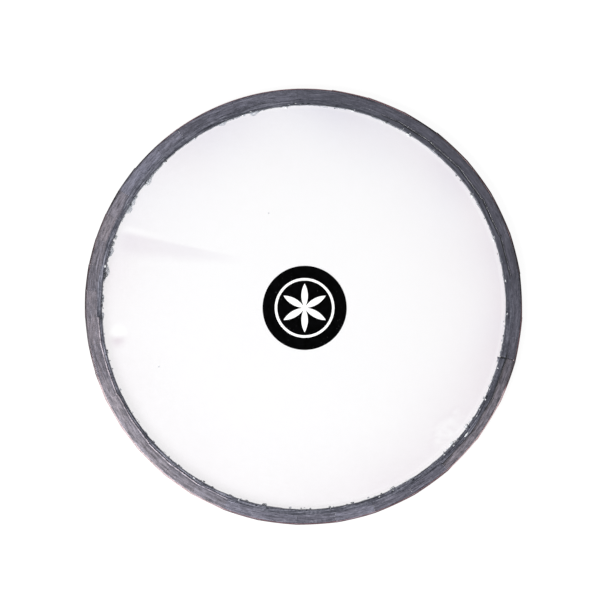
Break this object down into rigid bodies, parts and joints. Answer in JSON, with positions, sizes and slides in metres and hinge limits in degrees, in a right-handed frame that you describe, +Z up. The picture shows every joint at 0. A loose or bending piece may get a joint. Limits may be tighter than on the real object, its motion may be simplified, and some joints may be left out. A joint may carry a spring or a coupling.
{
  "type": "hand drum head",
  "caption": "Flat round hand-drum head: clear film stretched under a dark flat-bar hoop and folded over it in glued tabs, with a printed centre dot.",
  "frame": {"origin": "centre of the film's flat underside", "axes": "+Z up out of the playing side, +Y towards the top of the printed mark, +X to its right"},
  "size_m": [0.2222, 0.2222, 0.0047],
  "materials": {
    "hoop_metal": "dark rolled bar with streaks along its length, satin",
    "clear_film": "clear polyester film with a slight haze, glossy",
    "glue": "cloudy clear adhesive, glossy where it was squeezed out",
    "black_ink": "solid screen-printed black, semi-gloss",
    "white_ink": "opaque screen-printed white, semi-gloss"
  },
  "bodies": {
    "root": {"hoop": "hoop_metal", "membrane": "clear_film", "hoop_glue": "glue", "tab_glue": "glue", "inner_glue_bead": "glue", "centre_dot": "black_ink", "ornament_ring": "white_ink", "ornament_rosette": "white_ink"}
  },
  "joints": []
}
